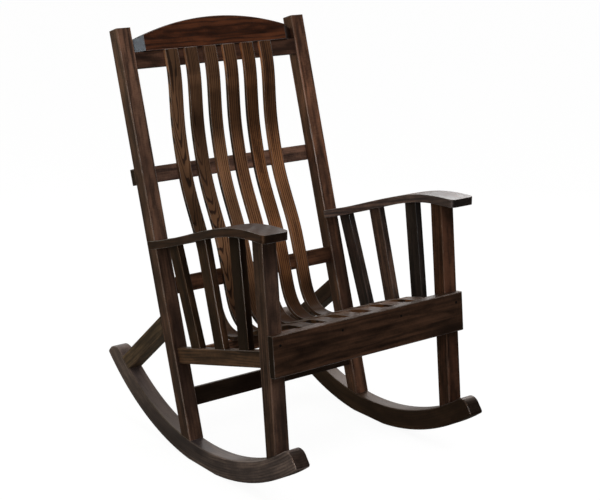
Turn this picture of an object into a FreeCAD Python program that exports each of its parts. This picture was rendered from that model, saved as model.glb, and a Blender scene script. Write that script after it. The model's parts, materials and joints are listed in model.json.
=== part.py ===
"""Rocking chair with bent back-and-seat slats, built in hardwood.

Frame: millimetres, front towards -Y, +Z up, X = 0 on the plane of symmetry,
"left" pieces at -X.  The rockers are arcs about one axis parallel to X, and every
leaning piece is laid out in a frame that turns about that axis: "along" (towards
the back) and "up" are measured from the rocker axis in that turned frame.
"""
import FreeCAD
import Part
import Sketcher
import math
import os

doc = FreeCAD.newDocument("RockingChair")
sheet = doc.addObject("Spreadsheet::Sheet", "Sheet")

SIZES = [
    ("frame_width", 610, "width over the outer faces of legs, posts and rockers"),
    ("stock_width", 43, "legs, posts, braces and rockers, across the chair"),
    ("stock_depth", 41, "legs and posts, front to back"),
    ("edge_bevel", 2, "eased long edges of the heavy stock"),
    ("board_bevel", 1.3, "eased long edges of the boards"),
    ("fit_gap", 0.3, "clearance round every tenon"),
    ("trim_margin", 30, "how far rough stock runs past its trimmed end"),
    ("tenon_thick", 12, "tenons of the boards"),
    ("tenon_inset", 8, "shoulder above and below the tenons of the boards"),
    ("tenon_reach", 20, "how far the tenons enter the posts and legs"),
    ("foot_tenon", 22, "side of the square tenons of legs, posts and braces"),
    ("foot_reach", 24, "how far legs, posts and braces enter the rockers"),
    ("arm_reach", 12, "how far legs and arm slats enter the arms"),
    # rockers
    ("axis_y", -28.35, "rocker axis, front to back"),
    ("rocker_radius", 682, "underside of the rockers"),
    ("rocker_depth", 55, "rocker, underside to top"),
    ("rest_flat", 130, "flat under each rocker on which the empty chair stands"),
    ("rocker_front_angle", 37.6, "front end of the rocker arc from the vertical"),
    ("rocker_rear_angle", 43.9, "rear end of the rocker arc from the vertical"),
    ("rocker_front_nose", 26, "rounding of the front top end"),
    ("rocker_rear_nose", 42, "rounding of the rear top end"),
    ("rocker_toe_round", 6, "rounding of the lower ends"),
    # posts, legs and braces
    ("post_lean", 16.65, "back posts from the vertical"),
    ("post_along", 226.5, "front face of the posts"),
    ("post_top", 513, "square-cut post tops"),
    ("leg_lean", 5.71, "front legs from the vertical"),
    ("leg_along", -278, "front face of the legs"),
    ("brace_lean", 39.4, "slope of the rear braces"),
    ("brace_top", -125.5, "upper face of the braces"),
    ("brace_depth", 43, "braces, upper to lower face"),
    # seat frame
    ("apron_top", -265.4, "top edge of the apron"),
    ("apron_height", 103, "apron, top to bottom"),
    ("apron_thick", 19, "apron board"),
    ("rail_lean", 14.47, "slope of the seat frame"),
    ("side_rail_top", -345, "top edge of the side rails"),
    ("side_rail_height", 42, "side rails"),
    ("side_rail_thick", 22, "side rails"),
    ("front_rail_top", -271.6, "top of the seat rail behind the apron"),
    ("front_rail_height", 58, "seat rail behind the apron"),
    ("front_rail_thick", 30, "seat rail behind the apron"),
    ("rear_rail_along", 132, "front face of the rear seat rail"),
    ("rear_rail_drop", 1.4, "top of the rear seat rail below the side rails"),
    ("rear_rail_height", 38, "rear seat rail"),
    ("rear_rail_reach", 9, "how far the rear seat rail enters the side rails"),
    # rails of the back
    ("back_rail_thick", 19, "rails between the posts"),
    ("upper_rail_bottom", 404.5, "lower edge of the rail behind the slat tops"),
    ("mid_rail_bottom", 103, "lower edge of the rail on the rear of the posts"),
    ("mid_rail_height", 43.3, "rail on the rear of the posts"),
    ("mid_rail_thick", 19, "rail on the rear of the posts"),
    ("lower_rail_bottom", -197.6, "lower edge of the rail at the seat joint"),
    ("lower_rail_height", 44, "rail at the seat joint"),
    ("stretcher_bottom", -498, "lower edge of the rear stretcher"),
    ("stretcher_height", 48, "rear stretcher"),
    # crest
    ("crest_bottom", 447.6, "straight lower edge of the crest"),
    ("crest_rise", 79.6, "height of the crest at mid width"),
    ("crest_end_rise", 32.4, "height of the crest at the posts"),
    ("crest_proud", 3, "crest face in front of the post face"),
    ("crest_thick", 26, "crest board"),
    ("crest_bevel_run", 32.2, "length of the bevel at each end of the crest"),
    ("crest_bevel_set", 20.5, "depth of the bevel at each end of the crest"),
    ("crest_tenon", 4, "thickness of the tenons of the crest"),
    # arms
    ("arm_thick", 21, "arms"),
    ("arm_lap", 5, "arms inside the inner faces of the posts"),
    ("arm_flare", 28.5, "arms outside the legs at the front"),
    ("arm_proud", 1, "arms outside the posts at the back"),
    ("arm_front", -327, "front end of the arms"),
    ("arm_straight", 130, "parallel front part of the arms"),
    ("arm_taper", 370, "run of the curve from the wide front to the narrow rear"),
    ("arm_corner", 13, "corner radius at the arm fronts"),
    ("arm_housing", 9, "depth of the housing of the arm in the outside of the post"),
    ("arm_tail_short", 4, "arm ends short of the rear face of the post"),
    ("arm_tail_past", 19.5, "upper line of the arm: end, behind the post front"),
    ("arm_tail_up", -123.4, "upper line of the arm: end"),
    ("arm_post_at", 152.8, "upper line of the arm: before the post"),
    ("arm_post_up", -98.4, "upper line of the arm: before the post"),
    ("arm_rise_at", 4.1, "upper line of the arm: mid length"),
    ("arm_rise_up", -49.6, "upper line of the arm: mid length"),
    ("arm_climb_at", -119.9, "upper line of the arm: before the hump"),
    ("arm_climb_up", -10.0, "upper line of the arm: before the hump"),
    ("arm_knuckle_at", -198.2, "upper line of the arm: on the hump"),
    ("arm_knuckle_up", 8.3, "upper line of the arm: on the hump"),
    ("arm_crown_at", -274.4, "upper line of the arm: over the leg"),
    ("arm_crown_up", 15.8, "upper line of the arm: over the leg"),
    ("arm_nose_at", -347, "upper line of the arm: past its front end"),
    ("arm_nose_up", 16.3, "upper line of the arm: past its front end"),
    # arm slats
    ("spindle_width", 44, "arm slats, front to back"),
    ("spindle_thick", 19, "arm slats, across"),
    ("front_spindle_lean", 7.72, "front arm slat from the vertical"),
    ("front_spindle_along", -164.4, "front arm slat, front edge"),
    ("mid_spindle_lean", 16.4, "middle arm slat from the vertical"),
    ("mid_spindle_along", -2.4, "middle arm slat, front edge"),
    ("rear_spindle_lean", 21.5, "rear arm slat from the vertical"),
    ("rear_spindle_along", 140.6, "rear arm slat, front edge"),
    # bent slats
    ("bend_fit", 0.2, "closeness of the arcs to the bent lines"),
    ("slat_count", 6, "bent slats"),
    ("slat_width", 38.5, "bent slats"),
    ("slat_thick", 10, "bent slats"),
    ("slat_pitch_back", 61.3, "spacing of the bent slats up the back"),
    ("slat_pitch_front", 72.4, "spacing of the bent slats at the apron"),
    ("fan_ease", 90, "half the length over which the slats turn into their fan"),
    ("roll_lean", 10, "slope of the slat fronts from the level"),
    ("slat_top_at", 447.3, "slat face up the back: top end, under the crest"),
    ("slat_top_out", -5.0, "slat face behind the post face: top end"),
    ("slat_rail_at", 402.0, "slat face up the back: lower edge of the upper rail"),
    ("slat_rail_out", -5.0, "slat face behind the post face: upper rail"),
    ("slat_shoulder_at", 256.0, "slat face up the back: shoulders"),
    ("slat_shoulder_out", 21.5, "slat face behind the post face: shoulders"),
    ("slat_hollow_at", 150.0, "slat face up the back: rearmost, above"),
    ("slat_hollow_out", 30.8, "slat face behind the post face: rearmost, above"),
    ("slat_hollow_low_at", 100.0, "slat face up the back: rearmost, below"),
    ("slat_hollow_low_out", 30.8, "slat face behind the post face: rearmost, below"),
    ("slat_lumbar_at", -7.0, "slat face up the back: small of the back"),
    ("slat_lumbar_out", 15.5, "slat face behind the post face: small of the back"),
    ("slat_waist_at", -80.0, "slat face up the back: waist"),
    ("slat_waist_out", 3.5, "slat face behind the post face: waist"),
    ("slat_lower_at", -153.0, "slat face up the back: upper edge of the lower rail"),
    ("slat_lower_out", 0.2, "slat face behind the post face: lower rail"),
    ("slat_root_at", -198.0, "slat face up the back: lower edge of the lower rail"),
    ("slat_root_out", 0.0, "slat face behind the post face: root"),
    ("seat_bend_at", 193.0, "slat face along the seat: in the bend"),
    ("seat_bend_out", 34.0, "slat face above the side rails: in the bend"),
    ("seat_low_at", 143.0, "slat face along the seat: over the rear seat rail"),
    ("seat_low_out", 8.9, "slat face above the side rails: lowest"),
    ("seat_rear_at", 75.0, "slat face along the seat: rear"),
    ("seat_rear_out", 13.5, "slat face above the side rails: rear"),
    ("seat_mid_at", 0.0, "slat face along the seat: middle"),
    ("seat_mid_out", 27.0, "slat face above the side rails: middle"),
    ("seat_fore_at", -75.0, "slat face along the seat: front"),
    ("seat_fore_out", 36.6, "slat face above the side rails: front"),
    ("seat_roll_at", -150.0, "slat face along the seat: top of the front roll"),
    ("seat_roll_out", 43.0, "slat face above the side rails: front roll"),
]
DERIVED = [
    ("axis_height", "sqrt(rocker_radius ^ 2 - (rest_flat / 2) ^ 2)", "rocker axis"),
    ("rocker_top", "rocker_radius - rocker_depth", "radius of the rocker tops"),
    ("half_width", "frame_width / 2", "outer faces of legs and posts"),
    ("clear_half", "half_width - stock_width", "inner faces of legs and posts"),
    ("side_mid", "half_width - stock_width / 2", "middle of legs and posts"),
    ("post_back", "post_along + stock_depth", "rear face of the posts"),
    ("post_mid", "post_along + stock_depth / 2", "middle of the posts"),
    ("leg_mid", "leg_along + stock_depth / 2", "middle of the legs"),
    ("brace_mid", "brace_top - brace_depth / 2", "middle of the braces"),
    ("side_rail_mid", "side_rail_top - side_rail_height / 2", "middle of the side rails"),
    ("rear_rail_top", "side_rail_top - rear_rail_drop", "top of the rear seat rail"),
    ("upper_rail_face", "post_along + slat_rail_out + slat_thick", "upper rail front"),
    ("lower_rail_face", "post_along + slat_lower_out + slat_thick", "lower rail front"),
    ("crest_back", "post_along - crest_proud + crest_thick", "rear face of the crest"),
    ("crest_end_mid", "crest_back - (crest_thick - crest_bevel_set) / 2", "crest ends"),
    ("crest_drop", "crest_rise - crest_end_rise", "fall of the arch to the posts"),
    ("crest_arch", "(clear_half ^ 2 + crest_drop ^ 2) / (2 * crest_drop)", "arch radius"),
    ("arm_tail_at", "post_along + arm_tail_past", "rear end of the arm's upper line"),
]


def enter(row, name, content, note):
    """One named value of the sheet, with its note."""
    sheet.set("A%d" % row, name)
    sheet.set("B%d" % row, content)
    sheet.set("C%d" % row, note)
    sheet.setAlias("B%d" % row, name)


for row, (name, value, note) in enumerate(SIZES, start=1):
    enter(row, name, str(value), note)
doc.recompute()
for row, (name, formula, note) in enumerate(DERIVED, start=len(SIZES) + 1):
    enter(row, name, "=" + formula, note)
    doc.recompute()


def size(name):
    return float(sheet.get(name))


# ------------------------------------------------------- frames and expressions
FUNCTIONS = ("cos", "sin", "sqrt", "deg")
CHAIR = "chair"


def terms(text):
    """Put the sheet's name before every alias in an expression."""
    out = []
    word = ""
    for char in text + " ":
        if char.isalnum() or char == "_":
            word += char
            continue
        if word and word[0].isalpha() and word not in FUNCTIONS:
            out.append("Sheet.")
        out.append(word)
        out.append(char)
        word = ""
    return "(" + "".join(out).strip() + ")"


def lean(frame):
    """Expression for the lean of a frame in degrees."""
    return "0" if frame == CHAIR else frame + "_lean"


def to_world(frame, along, up):
    """Side-view point of a leaning frame as (y, z) of the chair."""
    turn = 0.0 if frame == CHAIR else math.radians(size(frame + "_lean"))
    y = size("axis_y") + along * math.cos(turn) + up * math.sin(turn)
    z = size("axis_height") - along * math.sin(turn) + up * math.cos(turn)
    return y, z


def meet(frame, here, sign, other, there):
    """Where a line of another frame crosses a line of this one, as an expression."""
    turn = "((%s - %s) * 1 deg)" % (lean(frame), lean(other))
    return "((%s) %s (%s) * sin(%s)) / cos(%s)" % (there, sign, here, turn, turn)


def meet_along(frame, up, other, other_along):
    """Along of this frame, at a height, where the other frame's along is reached."""
    return meet(frame, up, "-", other, other_along)


def meet_up(frame, along, other, other_up):
    """Up of this frame, at an along, where the other frame's up is reached."""
    return meet(frame, along, "+", other, other_up)


def on_rocker(offset):
    """Distance from the axis to the rocker tops along a line at an offset."""
    return "sqrt(rocker_top ^ 2 - (%s) ^ 2)" % offset


def bind(obj, prop, expression):
    obj.setExpression(prop, expression)


def place(obj, frame, across, along, up):
    """Stand an object at a point of a leaning frame, turned with the frame."""
    turn = terms("(%s) * 1 deg" % lean(frame))
    across, along, up = terms(across), terms(along), terms(up)
    obj.Placement = FreeCAD.Placement(
        FreeCAD.Vector(0, 0, 0), FreeCAD.Rotation(FreeCAD.Vector(1, 0, 0), -10))
    bind(obj, ".Placement.Rotation.Angle", "-1 * " + turn)
    bind(obj, ".Placement.Base.x", across)
    bind(obj, ".Placement.Base.y",
         "Sheet.axis_y + %s * cos(%s) + %s * sin(%s)" % (along, turn, up, turn))
    bind(obj, ".Placement.Base.z",
         "Sheet.axis_height - %s * sin(%s) + %s * cos(%s)" % (along, turn, up, turn))


def block(name, frame, across, along, up, grow="0"):
    """A box between pairs of (start, end) expressions in a leaning frame."""
    box = doc.addObject("Part::Box", name)
    starts = []
    for prop, (start, end) in (("Length", across), ("Width", along), ("Height", up)):
        bind(box, prop, terms("(%s) - (%s) + 2 * %s" % (end, start, grow)))
        starts.append("(%s) - %s" % (start, grow))
    place(box, frame, *starts)
    return box


def centred(middle, thick):
    return ("%s - (%s) / 2" % (middle, thick), "%s + (%s) / 2" % (middle, thick))


def both(limit):
    return ("-1 * (%s)" % limit, limit)


def side_of(side, middle, thick):
    """Span across the chair of a piece centred on one side."""
    sign = "-1 * " if side == "left" else ""
    return centred(sign + middle, thick)


def thick_from(face, thick):
    return (face, face + " + " + thick)


# ------------------------------------------------------------- solid operations
nodes = []


def finish(shape, node):
    shape.Label = node
    nodes.append(shape)
    return shape


def fuse(shapes, name):
    result = doc.addObject("Part::MultiFuse", name)
    result.Shapes = shapes
    return result


def cut(base, tools, name):
    result = doc.addObject("Part::Cut", name)
    result.Base = base
    result.Tool = tools[0] if len(tools) == 1 else fuse(tools, name + "_tools")
    return result


def common(shapes, name):
    result = doc.addObject("Part::MultiCommon", name)
    result.Shapes = shapes
    return result


def dressed(base, name, picks, kind="Part::Chamfer"):
    """Chamfer or round the picked edges, given as (index, size name)."""
    result = doc.addObject(kind, name)
    result.Base = base
    result.Edges = [(index, size(amount), size(amount)) for index, amount in picks]
    doc.recompute()
    return result


def eased(base, axis, amount):
    """Ease the long edges of a box; axis is 0, 1 or 2 in the box's own frame."""
    doc.recompute()
    shape = base.Shape.copy()
    shape.Placement = FreeCAD.Placement()
    picks = []
    for index, edge in enumerate(shape.Edges, start=1):
        run = edge.Vertexes[-1].Point - edge.Vertexes[0].Point
        if abs(run[axis]) > max(abs(run[k]) for k in range(3) if k != axis):
            picks.append((index, amount))
    return dressed(base, base.Name + "_eased", picks)


def tenon(name, frame, across, along, up):
    """A tenon running through a piece, and the mortise it needs."""
    solid = block(name + "_tenon", frame, across, along, up)
    hole = block(name + "_mortise", frame, across, along, up, "fit_gap")
    return solid, hole


# ------------------------------------------------------------------- bent lines
def bent_line(stations, start=None, end=None):
    """Smooth line through side-view points, and the same line as tangent arcs."""
    line = Part.BSplineCurve()
    points = [FreeCAD.Vector(0, y, z) for y, z in stations]
    if start is None:
        line.interpolate(points)
    else:
        line.interpolate(Points=points, InitialTangent=start, FinalTangent=end)
    arcs = [arc.toShape() for arc in line.toBiArcs(size("bend_fit"))]
    return line, Part.Wire(Part.__sortEdges__(arcs))


def under_side(line, wire, thick, fill):
    """The strip under a line that runs from back to front, or its lower edge."""
    middle = (line.FirstParameter + line.LastParameter) / 2
    inward = FreeCAD.Vector(1, 0, 0).cross(line.tangent(middle)[0])
    for offset in (thick, -thick):
        shape = wire.makeOffset2D(offset, 0, fill, True)
        if (shape.CenterOfMass - wire.CenterOfMass).dot(inward) > 0:
            return shape
    raise SystemExit("the strip has no under side")


def segment(first, second):
    return Part.makeLine(FreeCAD.Vector(*first, 0), FreeCAD.Vector(*second, 0))


def outlined(edges):
    return Part.Face(Part.Wire(Part.__sortEdges__(edges)))


def column_over(edges):
    """Upright column over a closed outline on the floor."""
    return outlined(edges).extrude(FreeCAD.Vector(0, 0, 2 * size("rocker_radius")))


# ------------------------------------------------------------------- bent slats
BACK_STATIONS = ("slat_top", "slat_rail", "slat_shoulder", "slat_hollow",
                 "slat_hollow_low", "slat_lumbar", "slat_waist", "slat_lower", "slat_root")
SEAT_STATIONS = ("seat_bend", "seat_low", "seat_rear", "seat_mid", "seat_fore", "seat_roll")


def slat_strip():
    """Side view of the bent slats, pulled across the whole chair."""
    stations = []
    for name in BACK_STATIONS:
        along = size("post_along") + size(name + "_out")
        stations.append(to_world("post", along, size(name + "_at")))
    for name in SEAT_STATIONS:
        up = size("side_rail_top") + size(name + "_out")
        stations.append(to_world("rail", size(name + "_at"), up))
    stations.append(to_world("leg", size("leg_along"), size("apron_top")))
    post = math.radians(size("post_lean"))
    roll = math.radians(size("roll_lean"))
    line, wire = bent_line(stations,
                           FreeCAD.Vector(0, -math.sin(post), -math.cos(post)),
                           FreeCAD.Vector(0, -math.cos(roll), math.sin(roll)))
    strip = under_side(line, wire, size("slat_thick"), True).extrude(
        FreeCAD.Vector(size("frame_width"), 0, 0))
    strip.translate(FreeCAD.Vector(-size("half_width"), 0, 0))
    return strip


def fan_edge(x_front, x_back, y_front, y_turn, y_top):
    """One long edge of a slat from above: fan, easing arc, and straight up the back."""
    if abs(x_front - x_back) < size("fit_gap"):
        return [segment((x_back, y_front), (x_back, y_top))]
    corner = FreeCAD.Vector(x_back, y_turn, 0)
    fan = (FreeCAD.Vector(x_front, y_front, 0) - corner).normalize()
    ahead = FreeCAD.Vector(0, 1, 0)
    first = corner + fan * size("fan_ease")
    last = corner + ahead * size("fan_ease")
    half_turn = fan.getAngle(ahead) / 2
    radius = size("fan_ease") * math.tan(half_turn)
    crown = corner + (fan + ahead).normalize() * (radius / math.sin(half_turn) - radius)
    return [
        segment((x_front, y_front), (first.x, first.y)),
        Part.Arc(first, crown, last).toShape(),
        segment((last.x, last.y), (x_back, y_top)),
    ]


def bent_slat(number, strip):
    """One slat: the strip inside its fanned outline from above."""
    place_in_row = number - (size("slat_count") + 1) / 2
    x_back = place_in_row * size("slat_pitch_back")
    x_front = place_in_row * size("slat_pitch_front")
    half = size("slat_width") / 2
    margin = size("trim_margin")
    y_apron = to_world("leg", size("leg_along"), size("apron_top"))[0]
    y_turn = to_world("rail", size("seat_rear_at"), size("side_rail_top"))[0]
    y_top = to_world("post", size("post_back"), size("slat_top_at"))[0] + margin
    y_front = y_apron - margin
    x_front += (x_front - x_back) * margin / (y_turn - y_apron)
    edges = []
    for edge in (-half, half):
        edges += fan_edge(x_front + edge, x_back + edge, y_front, y_turn, y_top)
    edges.append(segment((x_front - half, y_front), (x_front + half, y_front)))
    edges.append(segment((x_back - half, y_top), (x_back + half, y_top)))
    return strip.common(column_over(edges)).Solids[0]


strip = slat_strip()
slats = []
for number in range(1, int(size("slat_count")) + 1):
    slat = doc.addObject("Part::Feature", "BentSlat%d" % number)
    slat.Shape = bent_slat(number, strip)
    slats.append(finish(slat, "bent_slat_%d" % number))
slat_tools = fuse(slats, "SlatTools")

# ------------------------------------------------------------------------- arms
ARM_STATIONS = ("arm_tail", "arm_post", "arm_rise", "arm_climb", "arm_knuckle",
                "arm_crown", "arm_nose")


def ogee(x1, y1, x2, y2):
    """Two equal arcs that move an edge from one parallel line to another."""
    step = x2 - x1
    run = y2 - y1
    radius = (run * run + step * step) / (4 * abs(step))
    half_turn = math.asin(run / 2 / radius) / 2
    bow = math.copysign(radius * (1 - math.cos(half_turn)), step)
    reach = radius * math.sin(half_turn)
    middle = FreeCAD.Vector((x1 + x2) / 2, (y1 + y2) / 2, 0)
    first = Part.Arc(FreeCAD.Vector(x1, y1, 0),
                     FreeCAD.Vector(x1 + bow, y1 + reach, 0), middle)
    last = Part.Arc(middle, FreeCAD.Vector(x2 - bow, y2 - reach, 0),
                    FreeCAD.Vector(x2, y2, 0))
    return [first.toShape(), last.toShape()]


def round_corner(x, y, inward):
    """Quarter round at a front corner of the arm, from its side to its end."""
    radius = size("arm_corner")
    short = radius * (1 - math.sqrt(0.5))
    return Part.Arc(FreeCAD.Vector(x, y + radius, 0),
                    FreeCAD.Vector(x + inward * short, y + short, 0),
                    FreeCAD.Vector(x + inward * radius, y, 0)).toShape()


def arm_outline():
    """Left arm from above: wide at the front, drawn in to the post."""
    inner = size("arm_lap") - size("clear_half")
    wide = -size("half_width") - size("arm_flare")
    narrow = -size("half_width") - size("arm_proud")
    front = size("axis_y") + size("arm_front")
    knee = front + size("arm_straight")
    neck = knee + size("arm_taper")
    rear = size("axis_y") + size("arm_tail_at") + size("trim_margin")
    radius = size("arm_corner")
    return ogee(wide, knee, narrow, neck) + [
        round_corner(wide, front, 1),
        round_corner(inner, front, -1),
        segment((wide, knee), (wide, front + radius)),
        segment((wide + radius, front), (inner - radius, front)),
        segment((inner, front + radius), (inner, rear)),
        segment((inner, rear), (narrow, rear)),
        segment((narrow, rear), (narrow, neck)),
    ]


arm_points = [to_world(CHAIR, size(name + "_at"), size(name + "_up"))
              for name in ARM_STATIONS]
arm_line, arm_wire = bent_line(arm_points)
arm_strip = under_side(arm_line, arm_wire, size("arm_thick"), True).extrude(
    FreeCAD.Vector(-size("frame_width"), 0, 0))
left_blank = doc.addObject("Part::Feature", "ArmBlank_left")
left_blank.Shape = arm_strip.common(column_over(arm_outline())).Solids[0]
right_blank = doc.addObject("Part::Mirroring", "ArmBlank_right")
right_blank.Source = left_blank
right_blank.Normal = FreeCAD.Vector(1, 0, 0)
arm_blanks = {"left": left_blank, "right": right_blank}


def above_arms():
    """Everything over the underside of the arms, as wide as two chairs."""
    lower = under_side(arm_line, arm_wire, size("arm_thick"), False)
    rear, front = lower.OrderedVertexes[0].Point, lower.OrderedVertexes[-1].Point
    roof = 2 * size("rocker_radius")
    corners = [rear, FreeCAD.Vector(0, rear.y, roof), FreeCAD.Vector(0, front.y, roof), front]
    border = [Part.makeLine(corners[k], corners[k + 1]) for k in range(3)]
    return outlined(lower.Edges + border).extrude(
        FreeCAD.Vector(2 * size("frame_width"), 0, 0))


def over_arms(name, rise):
    """The room over the arms, from a height inside them."""
    room = doc.addObject("Part::Feature", name)
    room.Shape = above_arms()
    bind(room, ".Placement.Base.x", "-1 * Sheet.frame_width")
    bind(room, ".Placement.Base.z", terms(rise))
    return room


arm_level = over_arms("ArmLevel", "0")
arm_depth = over_arms("ArmDepth", "arm_reach")
arm_blind = over_arms("ArmBlind", "arm_reach + fit_gap")


# ---------------------------------------------------------------------- rockers
def disc(name, radius, width):
    """Disc about the rocker axis, standing across the chair."""
    result = doc.addObject("Part::Cylinder", name)
    bind(result, "Radius", terms(radius))
    bind(result, "Height", terms(width))
    result.Placement = FreeCAD.Placement(
        FreeCAD.Vector(0, 0, 0), FreeCAD.Rotation(FreeCAD.Vector(0, 1, 0), 90))
    return result


seat_disc = disc("RockerTopDisc", "rocker_top", "frame_width")
bind(seat_disc, ".Placement.Base.x", "-1 * Sheet.half_width")
bind(seat_disc, ".Placement.Base.y", "Sheet.axis_y")
bind(seat_disc, ".Placement.Base.z", "Sheet.axis_height")


def rest_block(side):
    """What the resting flat takes off, in the rocker's own frame."""
    box = doc.addObject("Part::Box", "RestBlock_" + side)
    bind(box, "Length", "Sheet.stock_width")
    bind(box, "Width", "2 * Sheet.rest_flat")
    bind(box, "Height", "Sheet.rocker_depth")
    turn = "(Sheet.rocker_front_angle * 1 deg)"
    low = "(Sheet.axis_height + Sheet.rocker_depth)"
    box.Placement = FreeCAD.Placement(
        FreeCAD.Vector(0, 0, 0), FreeCAD.Rotation(FreeCAD.Vector(1, 0, 0), 10))
    bind(box, ".Placement.Rotation.Angle", turn)
    bind(box, ".Placement.Base.y",
         "-1 * Sheet.rest_flat * cos(%s) + %s * sin(%s)" % (turn, low, turn))
    bind(box, ".Placement.Base.z",
         "-1 * Sheet.rest_flat * sin(%s) - %s * cos(%s)" % (turn, low, turn))
    return box


def rocker_blank(side):
    """Arc of the rocker with rounded ends and its resting flat, before its mortises."""
    outer = disc("RockerOuter_" + side, "rocker_radius", "stock_width")
    inner = disc("RockerInner_" + side, "rocker_top", "stock_width")
    for part in (outer, inner):
        bind(part, "Angle", "Sheet.rocker_front_angle + Sheet.rocker_rear_angle")
    ring = cut(outer, [inner], "RockerRing_" + side)
    doc.recompute()
    small = size("edge_bevel")
    picks = []
    for index, edge in enumerate(ring.Shape.Edges, start=1):
        first, last = edge.Vertexes[0].Point, edge.Vertexes[-1].Point
        if abs(first.x - last.x) < small:
            continue
        if math.hypot(first.y, first.z) > size("rocker_top") + small:
            picks.append((index, "rocker_toe_round"))
        elif abs(first.y) < small:
            picks.append((index, "rocker_front_nose"))
        else:
            picks.append((index, "rocker_rear_nose"))
    nosed = dressed(ring, "RockerNosed_" + side, picks, "Part::Fillet")
    flat = cut(nosed, [rest_block(side)], "RockerFlat_" + side)
    doc.recompute()
    picks = []
    for index, edge in enumerate(flat.Shape.Edges, start=1):
        if abs(edge.Vertexes[0].Point.x - edge.Vertexes[-1].Point.x) < small:
            picks.append((index, "edge_bevel"))
    soft = dressed(flat, "RockerEased_" + side, picks)
    soft.Placement = FreeCAD.Placement(
        FreeCAD.Vector(0, 0, 0), FreeCAD.Rotation(FreeCAD.Vector(1, 0, 0), -10))
    bind(soft, ".Placement.Rotation.Angle", "-1 * Sheet.rocker_front_angle")
    bind(soft, ".Placement.Base.x", terms(side_of(side, "side_mid", "stock_width")[0]))
    bind(soft, ".Placement.Base.y", "Sheet.axis_y")
    bind(soft, ".Placement.Base.z", "Sheet.axis_height")
    return soft


# ------------------------------------------------------------- rails and apron
post_holes = {"left": [], "right": []}
leg_holes = {"left": [], "right": []}
side_rail_holes = {"left": [], "right": []}


def rail(node, frame, along, up, shoulder, reach, holes, notches=()):
    """Board across the chair with a tenon at each end."""
    board = eased(block(node + "_board", frame, both(shoulder), along, up), 0, "board_bevel")
    if notches:
        board = cut(board, list(notches), node + "_notched")
    middle = "(%s + %s) / 2" % along
    inside = (up[0] + " + tenon_inset", up[1] + " - tenon_inset")
    solid, hole = tenon(node, frame, both(shoulder + " + " + reach),
                        centred(middle, "tenon_thick"), inside)
    for side in ("left", "right"):
        holes[side].append(hole)
    return finish(fuse([board, solid], node + "_whole"), node)


rail("upper_slat_rail", "post", thick_from("upper_rail_face", "back_rail_thick"),
     ("upper_rail_bottom", "crest_bottom"), "clear_half", "tenon_reach", post_holes)
rail("lower_slat_rail", "post", thick_from("lower_rail_face", "back_rail_thick"),
     thick_from("lower_rail_bottom", "lower_rail_height"),
     "clear_half", "tenon_reach", post_holes)
rail("rear_stretcher", "post", centred("post_mid", "back_rail_thick"),
     thick_from("stretcher_bottom", "stretcher_height"),
     "clear_half", "tenon_reach", post_holes)
rail("front_seat_rail", "leg", thick_from("leg_along", "front_rail_thick"),
     ("front_rail_top - front_rail_height", "front_rail_top"),
     "clear_half", "tenon_reach", leg_holes, [slat_tools])
rail("rear_seat_rail", "rail", thick_from("rear_rail_along", "back_rail_thick"),
     ("rear_rail_top - rear_rail_height", "rear_rail_top"),
     "side_mid - side_rail_thick / 2", "rear_rail_reach", side_rail_holes)

mid_board = block("mid_board", "post", both("half_width"),
                  thick_from("post_back", "mid_rail_thick"),
                  thick_from("mid_rail_bottom", "mid_rail_height"))
finish(eased(mid_board, 0, "board_bevel"), "mid_slat_rail")
apron_board = block("apron_board", "leg", both("half_width"),
                    ("leg_along - apron_thick", "leg_along"),
                    ("apron_top - apron_height", "apron_top"))
finish(eased(apron_board, 0, "board_bevel"), "apron")


# ------------------------------------------------------------------------ crest
def crest_body():
    """Crest seen from above, with its bevelled ends, pulled up to its full height."""
    body = doc.addObject("PartDesign::Body", "CrestBody")
    place(body, "post", "0", "post_along", "crest_bottom")
    plan = body.newObject("Sketcher::SketchObject", "CrestPlan")
    plane = [item for item in body.Origin.OriginFeatures if item.Role == "XY_Plane"][0]
    plan.AttachmentSupport = [(plane, "")]
    plan.MapMode = "FlatFace"
    end = size("clear_half")
    flat = end - size("crest_bevel_run")
    face = -size("crest_proud")
    set_back = face + size("crest_bevel_set")
    rear = face + size("crest_thick")
    corners = [(-flat, face), (flat, face), (end, set_back), (end, rear),
               (-end, rear), (-end, set_back)]
    count = len(corners)
    for k in range(count):
        first = FreeCAD.Vector(*corners[k], 0)
        second = FreeCAD.Vector(*corners[(k + 1) % count], 0)
        plan.addGeometry(Part.LineSegment(first, second))
    for k in range(count):
        plan.addConstraint(Sketcher.Constraint("Coincident", k, 2, (k + 1) % count, 1))
    plan.addConstraint(Sketcher.Constraint("Vertical", 2))
    plan.addConstraint(Sketcher.Constraint("Vertical", 4))
    plan.addConstraint(Sketcher.Constraint("Symmetric", 0, 1, 0, 2, -2))
    plan.addConstraint(Sketcher.Constraint("Symmetric", 3, 1, 3, 2, -2))
    plan.addConstraint(Sketcher.Constraint("Horizontal", 1, 2, 4, 2))
    limits = [
        ("face_set", "DistanceY", (0, 1, -1, 1), "crest_proud"),
        ("board", "DistanceY", (0, 1, 3, 1), "crest_thick"),
        ("bevel_set", "DistanceY", (1, 1, 1, 2), "crest_bevel_set"),
        ("bevel_run", "DistanceX", (1, 1, 1, 2), "crest_bevel_run"),
        ("whole_length", "DistanceX", (3, 2, 3, 1), "2 * clear_half"),
    ]
    for label, kind, refs, source in limits:
        at = plan.addConstraint(Sketcher.Constraint(kind, *refs, 10.0))
        plan.renameConstraint(at, label)
        bind(plan, "Constraints." + label, terms(source))
    pad = body.newObject("PartDesign::Pad", "CrestPad")
    pad.Profile = plan
    bind(pad, "Length", "Sheet.crest_rise")
    body.Tip = pad
    return body


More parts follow.
